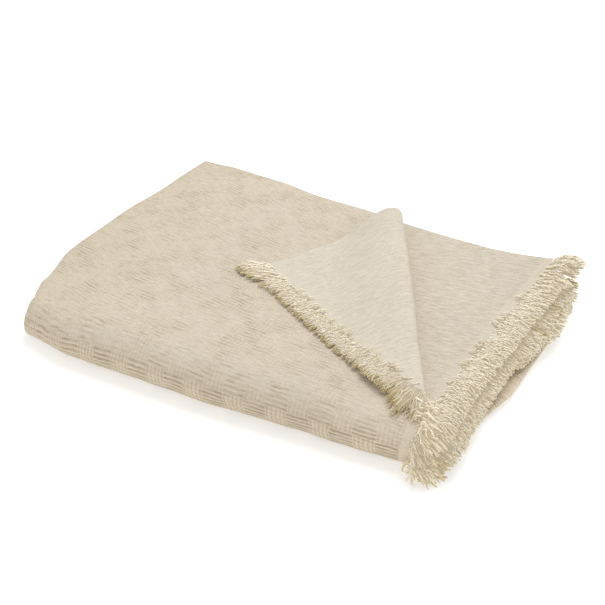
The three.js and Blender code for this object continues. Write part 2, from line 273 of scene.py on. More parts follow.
def from_table(table, place, column, at, eased=True):
    """Value of a column at a place, from row to row."""
    marks = np.array(table[place], dtype=float)
    values = np.array(table[column], dtype=float)
    i = np.clip(np.searchsorted(marks, at), 1, len(marks) - 1)
    t = (at - marks[i - 1]) / (marks[i] - marks[i - 1])
    if eased:
        t = np.clip(t, 0, 1)
        t = t * t * (3 - 2 * t)
    return values[i - 1] + (values[i] - values[i - 1]) * t


def end_at(w, column):
    return from_table(END_TABLE, "w", column, w, eased=False)


def across(w):
    """The strip's middle line at w along the path: y, z and the unit normal."""
    y, z, ny, nz = (np.zeros_like(w) for _ in range(4))
    start = 0.0
    for part in ACROSS_PATH:
        last = part is ACROSS_PATH[-1]
        here = (w >= start) & ((w < start + part["run"]) | last)
        t = (w[here] - start) / part["run"]
        if "r" in part:
            a = np.radians(part["a0"] + (part["a1"] - part["a0"]) * t)
            y[here] = part["y"] + part["r"] * np.cos(a)
            z[here] = part["z"] + part["r"] * np.sin(a)
            ny[here] = part["side"] * np.cos(a)
            nz[here] = part["side"] * np.sin(a)
        else:
            y[here] = part["y0"] + (part["y1"] - part["y0"]) * t
            z[here] = part["z"]
            nz[here] = part["side"]
        start += part["run"]
    return y, z, ny, nz


def angle_turned(w):
    """Angle turned so far at w along the path, in radians, signed by the side the strip turns to."""
    total = np.zeros_like(w)
    start = 0.0
    for part in ACROSS_PATH:
        if "r" in part:
            total += part["side"] * math.pi * np.clip((w - start) / part["run"], 0, 1)
        start += part["run"]
    return total


def turn_back(x, y, h):
    """Strip place of a point of end A's top sheet that lies at x, y before the corner is turned."""
    dx = x - TOP_END
    dy = y - CREASE_FOOT
    a = dx * ALONG[0] + dy * ALONG[1]
    ease = smooth(FRONT_TURN - TURN_EASE, FRONT_TURN + 1.4 * TURN_EASE, y)
    d = np.maximum(0, (dx * OVER[0] + dy * OVER[1]) * ease)
    r = ROLL_FOOT + ROLL_GROWTH * np.maximum(0, a)
    e = h - A_SHEET
    turn = np.minimum(math.pi, d / r)
    past = np.maximum(0, d - math.pi * r)
    bulge = np.where(turn > math.pi / 2, np.maximum(0, np.sin(turn)) ** SHOULDER, np.sin(turn))
    out = (r - e) * bulge - past * STRETCH
    tall = r * (1 + TALL * np.clip(a / CREASE, 0, 1) ** 2)
    drop = smooth(0, SETTLE, past) * (2 * tall - REST)
    rise = tall - (tall - e) * np.cos(turn) - drop
    along = a - past * DRIFT
    over = d > 0
    return (
        np.where(over, x + OVER[0] * (out - d) + ALONG[0] * (along - a), x),
        np.where(over, y + OVER[1] * (out - d) + ALONG[1] * (along - a), y),
        np.where(over, A_SHEET + rise, h),
    )


def settle(x, y, z):
    """Where a point of the square pile lies once the pile has settled."""
    level = z / HEIGHT
    below = np.maximum(0, FULLEST - level)
    off = ROUND_ABOVE * np.maximum(0, level - FULLEST) ** 2 + ROUND_BELOW * below**2
    left = np.clip(1 - x / LENGTH, 0, 1.1)
    front = np.clip(1 - y / DEPTH, 0, 1.1)
    back = np.clip(y / DEPTH, 0, 1.1)
    beyond = np.clip((x - SPLAY_FROM) / SPLAY_RUN, 0, 1.2) ** 2
    held = 1 - LEFT_WEIGHT * below
    nx = x + left**4 * (from_table(LEFT_TABLE, "y", "dx", y) * held + LEFT_ROUND * off)
    ny = y + front**3 * from_table(FRONT_TABLE, "x", "dy", x)
    ny = ny + back**3 * (from_table(BACK_TABLE, "x", "dy", x) - BACK_ROUND * off)
    ny = ny - SPLAY * beyond * front**5
    sink = LEFT_SINK * bell(x, y, 0, 0, 120, 110) + BACK_SINK * back**6 * (1 - left**4)
    sink = sink + SPLAY_SINK * beyond * front**5
    rise = CORNER_RISE * bell(x, y, 585, 400, 85, 80) + BACK_RISE * beyond * back**8
    up = np.maximum(0, z - FLOOR)
    return np.stack((nx, ny, up * (1 - sink) + rise * (up / HEIGHT) ** 2), axis=-1)


def place(x, w, h, turned=False):
    """Space place of a strip point; the turned corner belongs to end A's sheet in the top layer."""
    x, w, h = (np.array(v, dtype=float) for v in np.broadcast_arrays(x, w, h))
    if turned:
        top = w < TOP_RUN + TURN_EASE
        x[top], y, h[top] = turn_back(x[top], DEPTH - w[top], h[top])
        w[top] = DEPTH - y
    under = np.minimum(0, w)
    y, z, ny, nz = across(np.maximum(0, w))
    return settle(x, y - under + ny * h, z + nz * h)


def to_frame(points):
    """Millimetres from the corner of the pile to metres in the frame."""
    return (points - ORIGIN) * MM


# ---- the cloth ----
def stops(*runs):
    """Places along a line: each run goes to a share of it in a number of equal steps."""
    out = [0.0]
    for to, steps in runs:
        start = out[-1]
        out += [start + (to - start) * (i + 1) / steps for i in range(steps)]
    return out


# Sections of the strip from end A to end B: height above its middle, direction, and the steps.
LENGTH_PATH = (
    {"h": A_SHEET, "travel": -1, "end": "a", "stops": stops((0.42, 58), (1, 56))},
    {"h": 0, "side": "left", "r": A_SHEET, "a0": 90, "a1": 270, "stops": stops((1, 8))},
    {"h": -A_SHEET, "travel": 1, "end": "f", "stops": stops((1, 20))},
    {"h": -PITCH, "side": "right", "r": B_SHEET, "a0": -90, "a1": 90, "stops": stops((1, 6))},
    {"h": -B_SHEET, "travel": -1, "end": "f", "stops": stops((1, 20))},
    {"h": 0, "side": "left", "r": B_SHEET, "a0": 270, "a1": 90, "stops": stops((1, 6))},
    {"h": B_SHEET, "travel": 1, "end": "b", "stops": stops((0.57, 12), (1, 46))},
)
ROW_STEPS = (90, 18, 26, 6, 26, 6, 28)


def pucker(u, v):
    """Soft unevenness of the woven sheet in millimetres, from waves that cross at odd angles."""
    total = np.zeros_like(u)
    for wide, angle, phase, size in PUCKERS:
        run = u * math.cos(angle) + v * math.sin(angle)
        bend = 0.8 * np.sin((u * math.sin(angle) - v * math.cos(angle)) / wide * 2.1 + phase)
        total += size * np.sin(run / wide * 2 * math.pi + phase + bend)
    return total


def skew(k, x, w):
    """How far the threads of section k have slipped along w: the sheets are not quite square."""
    calm = 1 - smooth(300, 430, w)
    if k in (0, 1):
        past = (x - TOP_END) * OVER[0] + (DEPTH - w - CREASE_FOOT) * OVER[1]
        return TOP_SKEW * (x - 250) * calm + CORNER_SKEW * np.maximum(0, past) * calm
    if k == 2:
        return LEFT_SLIP * calm * smooth(200, 0, x)
    if k == 6:
        return RIGHT_SKEW * np.maximum(0, x - 250) * calm
    return x * 0


def cloth_columns():
    """Every column of the cloth's grid once: its section and the share of the section behind it."""
    columns = []
    for k, section in enumerate(LENGTH_PATH):
        columns += [(k, t) for t in section["stops"][0 if k == 0 else 1:]]
    return columns


def cloth_rows():
    rows = [0.0]
    for part, steps in zip(ACROSS_PATH, ROW_STEPS):
        start = rows[-1]
        rows += [start + part["run"] * (i + 1) / steps for i in range(steps)]
    return np.array(rows)


def fold_cloth(rows):
    """Points of the cloth's middle, its flat coordinates, its distance from a fringed end and the slip
    of its threads."""
    columns = cloth_columns()
    points = np.zeros((len(columns), len(rows), 3))
    flat = np.zeros((len(columns), len(rows), 2))
    slip = np.zeros((len(columns), len(rows)))
    edge = np.full((len(columns), len(rows)), FAR_FROM_END)
    begun = np.zeros(len(rows))
    turned = angle_turned(rows)
    for k, section in enumerate(LENGTH_PATH):
        right = end_at(rows, section.get("end", "f"))
        if section.get("end", "f") == "f":
            right = right - PITCH
        for i, t in [(i, t) for i, (own, t) in enumerate(columns) if own == k]:
            if "r" in section:
                a = math.radians(section["a0"] + (section["a1"] - section["a0"]) * t)
                centre = LEFT_TURN if section["side"] == "left" else right
                u = begun + math.pi * section["r"] * t
                x = centre + section["r"] * math.cos(a)
                h = section["h"] + section["r"] * math.sin(a)
            else:
                x = right + (LEFT_TURN - right) * (t if section["travel"] < 0 else 1 - t)
                u = begun + (right - LEFT_TURN) * t
                h = section["h"]
                if section["end"] != "f":
                    edge[i] = right - x
            if k == 0:
                u = LEFT_TURN - x
            # a sheet off the middle of the strip goes a longer or shorter way round each fold
            free = 0 if "r" in section else smooth(0, FOLD_REACH, x - LEFT_TURN)
            if section.get("end") == "f" and "r" not in section:
                free = free * smooth(0, FOLD_REACH, right - x)
            flat[i, :, 0] = u
            slip[i] = skew(k, x, rows)
            flat[i, :, 1] = rows + free * h * turned
            # the puckers are calmer where a fold begins and ends
            calm = 1 - smooth(0, 14, abs(t - 0.5) * 40 - 8) if "r" in section else 1
            h = h + pucker(u, rows) * calm
            points[i] = place(x, rows, h, turned=section.get("end") == "a")
        if "r" in section:
            begun = begun + math.pi * section["r"]
        elif k > 0:
            begun = begun + right - LEFT_TURN
    return points, flat, edge, slip


def link(obj):
    bpy.context.scene.collection.objects.link(obj)
    return obj


def finish_piece(obj):
    """Every piece of the throw rides on its one body."""
    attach(obj, "root")
    return obj


def applied(obj):
    """The same object with its modifiers worked into its mesh."""
    graph = bpy.context.evaluated_depsgraph_get()
    mesh = bpy.data.meshes.new_from_object(obj.evaluated_get(graph), depsgraph=graph)
    old = obj.data
    obj.modifiers.clear()
    obj.data = mesh
    mesh.name = obj.name
    bpy.data.meshes.remove(old)
    return obj


def store(mesh, name, values):
    """Keeps a number at every point of a mesh for its finish to read."""
    made = mesh.attributes.new(name, "FLOAT", "POINT")
    made.data.foreach_set("value", values.astype(np.float32))


def make_cloth(sizes):
    """One flat grid, folded point by point, then given its thickness."""
    rows = cloth_rows()
    points, flat, edge, slip = fold_cloth(rows)
    wide, deep = points.shape[:2]
    bm = bmesh.new()
    bmesh.ops.create_grid(bm, x_segments=wide - 1, y_segments=deep - 1, size=0.5)
    mesh = bpy.data.meshes.new("woven_cloth")
    bm.to_mesh(mesh)
    bm.free()
    count = len(mesh.vertices)
    square = np.empty(count * 3)
    mesh.vertices.foreach_get("co", square)
    square = square.reshape(-1, 3) + 0.5
    i = np.rint(square[:, 0] * (wide - 1)).astype(int)
    j = np.rint(square[:, 1] * (deep - 1)).astype(int)
    mesh.vertices.foreach_set("co", to_frame(points[i, j]).ravel())
    corner = np.empty(len(mesh.loops), dtype=int)
    mesh.loops.foreach_get("vertex_index", corner)
    flat_map = mesh.uv_layers.new(name="flat_cloth")
    flat_map.data.foreach_set("uv", (flat[i, j] * MM)[corner].astype(np.float32).ravel())
    span_x = points[..., 0]
    # the ribs stand open where the cloth is bent over the front of the pile; there the finish also paints
    # light over its shade and a warm shade tone
    bend = smooth(362, 388, rows) * (1 - smooth(430, 480, rows))
    bend = np.broadcast_to(bend, slip.shape)
    # cloth that lies beyond both ends is the outside of the right fold, painted paler as light over the
    # fringe's shade, and so, a little, are the top along the front fold and the fold beside the corner,
    # painted light over their shade
    right_fold = smooth(508, 520, span_x)
    worn = np.maximum(right_fold, 0.1 * hump(rows, 305, 36))
    worn = np.maximum(worn, 0.5 * hump(rows, 372, 46) * smooth(370, 460, span_x))
    # painted warm shade: the cotton is warmer in tone along the left, right and front folds, as the shade
    # there is warm
    warm_shade = np.maximum(bend, right_fold)
    warm_shade = np.maximum(warm_shade, 0.55 * smooth(170, 30, span_x))
    # past the first sheet the cotton is a little darker and its broken lines show more
    nap = smooth(-100, 300, flat[..., 0])
    for label, values in (
        ("near_end", edge * MM), ("slip", slip * MM), ("nap", nap),
        ("bend", bend), ("worn", worn), ("warm_shade", warm_shade),
    ):
        store(mesh, label, values[i, j])
    mesh.shade_smooth()
    cloth = link(bpy.data.objects.new("woven_cloth", mesh))
    mesh.materials.append(face_material(sizes))
    mesh.materials.append(reverse_material(sizes))
    wall = cloth.modifiers.new("thickness", "SOLIDIFY")
    wall.thickness = sizes.cloth
    wall.offset = 0
    wall.material_offset = 1
    wall.material_offset_rim = 1
    applied(cloth)
    cloth.data.set_sharp_from_angle(angle=SHARP_EDGE)
    return cloth


# ---- the fringes ----
YARN_SIDES = 3
YARN_RINGS = 7
YARN_SPACING = 4
YARN_UP = (0.13, 0.31, 0.94)
TUFT = 4.2
END_MARGIN = 1.5
LEAST_HEIGHT = 1.1
FRONT_GAP = 2.2

# Stretches along a fringed end, in millimetres: where each is strongest and how wide it is.
CROWDED = (40, 26)
GATHERED = (406, 52)
HEEL = (306, 28)
FOOT = (347, 30)
FALL = (404, 50)
RUFFLES = ((376, 26), (436, 20))
LONG_ON_FLAP = (325, 42)
SHORT_PAST_FALL = (458, 40)
LONG_AT_FRONT = (856, 52)
LONG_AT_BOTTOM = (1104, 60)
LIMP_CORNER = (34, 14)
SHADED_HOLLOWS = ((1480, 10), (1424, 7), (1378, 5))

# How the yarns leave the pile about the foot of the roll: stretch, share and direction.
LEADS = (
    ("heel", 0.75, (-0.12, -0.86, -0.50)),
    ("foot", 1.0, (0.36, -0.76, -0.40)),
    ("fall", 0.9, (0.68, -0.40, -0.50)),
)


def yarn_template():
    """One straight yarn of unit size along +Z, closed at both ends."""
    bm = bmesh.new()
    made = bmesh.ops.create_circle(bm, segments=YARN_SIDES, radius=1)
    edges = list({e for v in made["verts"] for e in v.link_edges})
    root = edges
    for _ in range(YARN_RINGS - 1):
        grown = bmesh.ops.extrude_edge_only(bm, edges=edges)["geom"]
        raised = [g for g in grown if isinstance(g, bmesh.types.BMVert)]
        bmesh.ops.translate(bm, verts=raised, vec=(0, 0, 1 / (YARN_RINGS - 1)))
        edges = [g for g in grown if isinstance(g, bmesh.types.BMEdge)]
    for ring in (root, edges):
        bmesh.ops.contextual_create(bm, geom=ring)
    bmesh.ops.recalc_face_normals(bm, faces=bm.faces[:])
    uv = bm.loops.layers.uv.new("along_yarn")
    for face in bm.faces:
        middle = face.calc_center_median()
        facing = math.atan2(middle.y, middle.x)
        for corner in face.loops:
            at = corner.vert.co
            angle = math.atan2(at.y, at.x)
            while angle < facing - math.pi:
                angle += 2 * math.pi
            while angle > facing + math.pi:
                angle -= 2 * math.pi
            corner[uv].uv = (angle / (2 * math.pi), at.z)
    mesh = bpy.data.meshes.new("yarn")
    bm.to_mesh(mesh)
    bm.free()
    return mesh


def fringe_point(end, w, reach, off):
    """Point of a fringe at w along the end, reach beyond the root, off to either side."""
    h = (A_SHEET if end == "a" else B_SHEET) + off
    return place(end_at(w, end) + CLEAR + reach, w, h, turned=end == "a")


def unit(v):
    return v / np.maximum(1e-9, np.linalg.norm(v, axis=-1, keepdims=True))


def rest_on_front(points):
    """Keeps yarns that hang over the front fold outside its cloth."""
    x, y, z = points[..., 0], points[..., 1], points[..., 2]
    shift = from_table(FRONT_TABLE, "x", "dy", x) * (1 - FRONT_TURN / DEPTH) ** 3
    dy = y - FRONT_TURN - shift
    dz = z - 8 * PITCH
    away = np.where(dy < 0, np.hypot(dy, dz), dz)
    least = 6 * PITCH + A_SHEET + FRONT_GAP
    grow = np.maximum(1, least / np.maximum(away, 8))
    inside = (x < 496) & (dz > -8)
    points[..., 1] = np.where(inside & (dy < 0), y - dy + dy * grow, y)
    points[..., 2] = np.where(inside, z - dz + dz * grow, z)
    return points


def fringe_zones(end, w):
    """How far each yarn belongs to each stretch of its end, from 0 to 1."""
    turned = end == "a"
    none = w * 0
    y = across(w)[0]
    return SimpleNamespace(
        flap=1 - smooth(305, 362, w) if turned else none,
        foot=hump(w, *FOOT) if turned else none,
        heel=hump(w, *HEEL) if turned else none,
        fall=hump(w, *FALL),
        ruffle=sum(hump(w, *ruffle) for ruffle in RUFFLES),
        corner=smooth(62, 20, w),
        top=1 - smooth(330, 370, w),
        beside=smooth(50, 95, y) * smooth(300, 240, y) * smooth(470, 430, w),
        low=smooth(900, 960, w) * smooth(238, 188, y),
    )


def yarn_lengths(length, w, zone, loose, shag, spread):
    """Length of each yarn in millimetres: no two are cut quite alike, and the loose ones are short."""
    long = length / MM * (1.0 - spread(0.0, 0.2) * (1 - 0.6 * zone.fall))
    long = long * (1 - loose * spread(0.0, 0.42)) * (1 - shag * spread(0.1, 0.6))
    long = long * (1 - 0.42 * zone.flap * (1 - 0.6 * zone.corner) * (1 - hump(w, *LONG_ON_FLAP)))
    over_pile = np.maximum(zone.beside, zone.top)
    long = long * (1 - 0.20 * (1 - zone.flap) * (1 - zone.corner) * over_pile)
    long = long * (1 - 0.12 * zone.fall)
    long = long * (1 - 0.06 * hump(w, *SHORT_PAST_FALL))
    # those of the lower layers are worn short beside the fold that lies under them
    long = long * (1 - 0.25 * zone.low) * (1 - zone.ruffle * spread(0.05, 0.5))
    return long * (1 + 0.3 * hump(w, *LONG_AT_FRONT) + 0.2 * hump(w, *LONG_AT_BOTTOM))


def yarn_paths(end, count, length, rng):
    """Middle lines of all yarns of one fringe, count by YARN_RINGS points, in millimetres, with the place
    along each yarn, how deep it lies for painted root shade, its painted olive tip shadow and its painted
    light."""
    t = np.linspace(0, 1, YARN_RINGS)[None, :]
    w = (np.arange(count) + rng.uniform(0, 1, count))[:, None]
    w = w / count * (ACROSS - 2 * END_MARGIN) + END_MARGIN
    # the yarns stand closer at the corner and where they spread over the front of the pile
    w = w - 20 * hump(w, *CROWDED) * smooth(0, 8, w)
    w = w - 0.42 * (w - GATHERED[0]) * hump(w, *GATHERED)

    def spread(low, high):
        return rng.uniform(low, high, count)[:, None]

    def scatter(*ranges):
        return np.stack([spread(*limits) for limits in ranges], axis=-1)

    # they cling together in tufts, each with a lean and a lift of its own
    tuft = np.clip(np.floor(w / TUFT), 0, None).astype(int)
    pull = (tuft + 0.5) * TUFT - w
    tufts = rng.uniform(-1, 1, (5, int(ACROSS / TUFT) + 2))
    zone = fringe_zones(end, w)
    flap, fall, foot, corner = zone.flap, zone.fall, zone.foot, zone.corner
    # half of the yarns lie close in a mat, the rest curl up short on top of it
    free = spread(0, 1)
    loose = smooth(0.42, 0.58, free)
    calm = 0.35 + 0.65 * loose
    shag = smooth(0.25, 0.45, free) * np.maximum(fall, foot)
    long = yarn_lengths(length, w, zone, loose, shag, spread)

    def sway(low, high):
        """Waviness of each yarn, from its root on."""
        swing = spread(low, high) * calm * np.sin(t * spread(6, 11) + spread(0, 6.28))
        return swing * smooth(0, 0.25, t)

    # the loose ones come out of the cloth a little before its end, and some are flicked back on it
    lying = 1 - np.clip(foot + fall, 0, 1)
    early = 1.2 + 2.4 * loose * spread(0, 1) ** 1.5 * lying
    back = loose * (spread(0, 1) < 0.03 + 0.03 * flap) * lying * (1 - corner)
    reach = -early + t * (long + early)
    flicked = -early + 4.0 * np.sin(t * 3.0) - 0.25 * long * t**2
    reach = reach * (1 - back) + back * flicked
    lean = 3.2 * tufts[0][tuft] + 0.5 * pull + spread(-6.0, 6.0) * calm
    curl = sway(0.9, 2.6)
    side = lean * t**1.2 + curl * (1 + 1.5 * shag) - 22 * corner * flap * t
    lane = spread(-0.9, 0.3) * (1 - loose)
    lift = 0.4 + 1.4 * loose * free * (1 - 0.4 * flap) + 0.5 * tufts[1][tuft] + 3.0 * corner * free
    lift = lift * np.sin(t * math.pi * spread(0.62, 0.95))
    wave = sway(0.4, 1.4) * (1 + 1.8 * shag)
    # upward is the reverse of the cloth on the turned corner and where a layer lies face down
    up = np.where(across(w)[3] < -0.01, -1.0, 1.0) * (1 - 2 * flap)
    over = smooth(0.02, 0.16, t) * np.clip(1.25 * (early - 1.2), 0, 1.3) * smooth(3.0, 0.0, reach)
    over = over + 3.0 * back * np.sin(t * 2.4)
    off = (lane + lift + wave + over) * up
    at = np.clip(w + side, -26, ACROSS - 0.5)
    # where the end curls round the roll the yarns fall straight on from a short way out
    limit = np.where(foot > 0.02, np.minimum(reach, 6 + 34 * (1 - foot)), reach)
    points = fringe_point(end, at, limit, off)
    before = fringe_point(end, at, limit - 1.5, off)
    points = points + unit(points - before) * (reach - limit)[..., None]
    root = points[:, :1, :]
    wobble = np.stack((side * 0.5, curl, lift + wave), axis=-1)
    # beside the roll's foot the yarns drop over the front of the pile, below it they fan out
    own = np.stack([row[tuft] for row in tufts[2:]], axis=-1)
    for stretch, most, lead in LEADS:
        fan = scatter((-0.2, 0.4), (-0.35, 0.35), (-0.4, 0.4))
        fan = fan * (1 + 1.9 * shag[..., None] + 1.2 * zone.ruffle[..., None])
        fan = fan + own * (0.26 + 0.24 * fall[..., None])
        straight = root + unit(np.array(lead) + fan) * (reach + early)[..., None] + wobble
        share = (most * getattr(zone, stretch) * smooth(0, 0.45, t))[..., None]
        points = points * (1 - share) + straight * share
    # the loose ones over the corner are tousled, each hooked its own way
    points = points + scatter((-9, 9), (-8, 8), (-6, 6)) * (shag * t**2)[..., None]
    # free yarns sag a little under their own weight, down to the floor at most
    sag = 3.0 * (1 - free) * (1 - flap) + 4.0 * fall + 8.0 * hump(w, *LIMP_CORNER) * (1 - flap)
    points[..., 2] -= sag * t**2 * smooth(6, 30, points[..., 2])
    if end == "a":
        points = np.where((w < 372)[..., None], rest_on_front(points.copy()), points)
    points[..., 2] = np.maximum(points[..., 2], LEAST_HEIGHT + 0.5 * np.abs(lane))
    # painted shadow: the mat yarns of the turned corner and of some tufts falling over the front are
    # olive at their tips
    under = flap * (1 - loose) * smooth(345, 300, w)
    under = np.maximum(under, 0.75 * fall * (1 - loose) * smooth(0.5, 0.9, tufts[4][tuft]))
    # painted shade at hollows between the tufts of the lower layers near the back
    for hollow in SHADED_HOLLOWS:
        under = np.maximum(under, hump(w, *hollow))
    # painted light: the palest are those at the foot of the roll, then those that fall over the front,
    # lifting their shade
    pale = np.maximum(0.18 * flap, np.maximum(foot, 0.40 * fall))
    # how far the painted root shade reaches each yarn: most in the mat, less where light is painted on
    deep = (1 - loose) * spread(0.3, 1.0) * (1 - 0.7 * pale)
    return points, t, deep, under, pale


def make_fringe(name, end, sizes, seed):
    """One fringe: a single yarn repeated in a row, each copy then laid along its own path."""
    rng = np.random.default_rng(seed)
    count = sizes.yarns
    fringe = link(bpy.data.objects.new(name, yarn_template()))
    row = fringe.modifiers.new("row", "ARRAY")
    row.count = count
    row.use_relative_offset = False
    row.use_constant_offset = True
    row.constant_offset_displace = (YARN_SPACING, 0, 0)
    applied(fringe)
    mesh = fringe.data
    corners = len(mesh.vertices) // count
    straight = np.empty(len(mesh.vertices) * 3)
    mesh.vertices.foreach_get("co", straight)
    straight = straight.reshape(count, corners, 3)
    straight[..., 0] -= YARN_SPACING * np.arange(count)[:, None]
    ring = np.rint(straight[0, :, 2] * (YARN_RINGS - 1)).astype(int)
    paths, t, deep, under, pale = yarn_paths(end, count, sizes.fringe, rng)
    paths = to_frame(paths)
    tangent = unit(np.gradient(paths, axis=1))
    side = unit(np.cross(YARN_UP, tangent))
    top = np.cross(tangent, side)
    size = sizes.yarn / 2 * rng.uniform(0.82, 1.12, (count, 1))
    size = size * (1 + 0.10 * np.sin(t * 9 + rng.uniform(0, 6, (count, 1)))) * (1 - 0.25 * t**6)
    local = size[:, ring, None]
    placed = (
        paths[:, ring]
        + side[:, ring] * straight[..., 0:1] * local
        + top[:, ring] * straight[..., 1:2] * local
    )
    mesh.vertices.foreach_set("co", placed.ravel())
    # each yarn's own tone at random, and how much painted root shade, painted tip shadow and painted
    # light it takes
    for label, values in (
        ("tint", rng.uniform(0, 1, count)), ("deep", deep.ravel()),
        ("under", under.ravel()), ("pale", pale.ravel()),
    ):
        store(mesh, label, np.repeat(values, corners))
    mesh.update()
    mesh.shade_smooth()
    mesh.materials.clear()
    mesh.materials.append(bpy.data.materials.get("fringe cotton") or fringe_material(sizes))
    return fringe


# ---- finishes ----
# Scales of the noise on the flat cloth, along and across its threads.
EVEN = (1, 1, 1)
SLUBS = (62, 330, 1)
DASHES = (58, 520, 1)
FLECKS = (135, 560, 1)
SPECKS = (1, 2.4, 1)
RIBS_IN_BLOCK = 5
WANDER = 0.0046
PLY_TURN = 0.0042
WARM_SHADE_TONE = (1.0, 0.985, 0.945, 1)
LATER_SHEET_TONE = (1.0, 0.985, 0.970, 1)
SHADOW_OLIVE = (0.27, 0.212, 0.078, 1)
GLOW_PALE = (1.0, 0.87, 0.64, 1)
GLOW_OLIVE = (0.50, 0.37, 0.15, 1)
GLOW = 0.20


def add(tree, kind, values=None, **settings):
    """Adds a node, applies its settings and fills its inputs with numbers or links."""
    made = tree.nodes.new("ShaderNode" + kind)
    for name, value in settings.items():
        setattr(made, name, value)
    for key, value in (values or {}).items():
        if isinstance(value, bpy.types.NodeSocket):
            tree.links.new(value, made.inputs[key])
        else:
            made.inputs[key].default_value = value
    return made


def sums(tree, operation, *values):
    return add(tree, "Math", dict(enumerate(values)), operation=operation).outputs[0]


def blend(tree, share, a, b):
    """Mix of two numbers."""
    return add(tree, "Mix", {0: share, 2: a, 3: b}, data_type="FLOAT").outputs[0]


def tint(tree, share, a, b, kind="MIX"):
    """Mix of two colours."""
    return add(tree, "Mix", {0: share, 6: a, 7: b}, data_type="RGBA", blend_type=kind).outputs[2]


def ramp(tree, value, low, high):
    """0 below low and 1 above high, eased between them."""
    return add(
        tree, "MapRange", {"Value": value, "From Min": low, "From Max": high},
        interpolation_type="SMOOTHSTEP",
    ).outputs[0]


def grain(tree, vector, stretch, scale, detail=2.0, rough=0.5):
    """Noise on flat cloth coordinates, drawn out by the stretch."""
    moved = add(tree, "Mapping", {"Vector": vector, "Scale": stretch})
    made = add(
        tree, "TexNoise",
        {"Vector": moved.outputs[0], "Scale": scale, "Detail": detail, "Roughness": rough},
        noise_dimensions="3D",
    )
    return made.outputs["Fac"]


def stored(tree, name):
    """Number kept at the points of the mesh."""
    return add(tree, "Attribute", attribute_name=name).outputs["Fac"]


def new_group(name, inputs, outputs):
    tree = bpy.data.node_groups.new(name, "ShaderNodeTree")
    for label, kind in inputs:
        tree.interface.new_socket(label, in_out="INPUT", socket_type=kind)
    for label, kind in outputs:
        tree.interface.new_socket(label, in_out="OUTPUT", socket_type=kind)
    return tree, tree.nodes.new("NodeGroupInput"), tree.nodes.new("NodeGroupOutput")


def ribs(tree, run, pitch):
    """Rounded ribs, 0 in the groove and 1 on the crown."""
    wave = sums(tree, "COSINE", sums(tree, "MULTIPLY", run, 2 * math.pi / pitch))
    return sums(tree, "MULTIPLY_ADD", wave, 0.5, 0.5)


def weave_group(block):
    """Basket weave: blocks of ribs along the cloth take turns with blocks of ribs across it."""
    name = "basket weave"
    if name in bpy.data.node_groups:
        return bpy.data.node_groups[name]
    labels = (
        "Block Height", "Block Groove", "Plain Height", "Plain Groove", "Slub", "Dash", "Crossed",
    )
    tree, given, out = new_group(
        name, [("Cloth", "NodeSocketVector")], [(label, "NodeSocketFloat") for label in labels]
    )
    cloth = given.outputs[0]
    drift = grain(tree, cloth, EVEN, 38, 2)
    wander = sums(tree, "MULTIPLY_ADD", drift, WANDER, -WANDER / 2)
    parts = add(tree, "SeparateXYZ", {0: cloth})
    u = sums(tree, "ADD", parts.outputs[0], wander)
    v = sums(tree, "ADD", parts.outputs[1], wander)
    cells = [sums(tree, "FLOOR", sums(tree, "DIVIDE", run, block)) for run in (u, v)]
    odd = sums(tree, "PINGPONG", sums(tree, "ADD", *cells), 1)
    pitch = block / RIBS_IN_BLOCK
    along = ribs(tree, v, pitch)
    crosswise = ribs(tree, u, pitch)
    slub = grain(tree, cloth, SLUBS, 1.0, 3, 0.65)
    broken = ramp(tree, slub, 0.38, 0.60)
    groove_along = sums(tree, "POWER", sums(tree, "SUBTRACT", 1, along), 3)
    groove_across = sums(tree, "POWER", sums(tree, "SUBTRACT", 1, crosswise), 3.5)
    strength = blend(tree, broken, 1.0, 0.4)
    even_groove = sums(tree, "MULTIPLY", groove_along, strength)
    odd_groove = sums(
        tree, "MULTIPLY_ADD", groove_across, 0.36, sums(tree, "MULTIPLY", even_groove, 0.3)
    )
    odd_height = sums(
        tree, "MULTIPLY_ADD", crosswise, 0.32, sums(tree, "MULTIPLY", along, 0.35)
    )
    dash = ramp(tree, grain(tree, cloth, DASHES, 1.0, 2, 0.5), 0.54, 0.64)
    results = (
        blend(tree, odd, along, odd_height), blend(tree, odd, even_groove, odd_groove),
        slub, sums(tree, "MULTIPLY", even_groove, 0.2), slub, dash, odd,
    )
    for label, result in zip(labels, results):
        tree.links.new(result, out.inputs[label])
    return tree


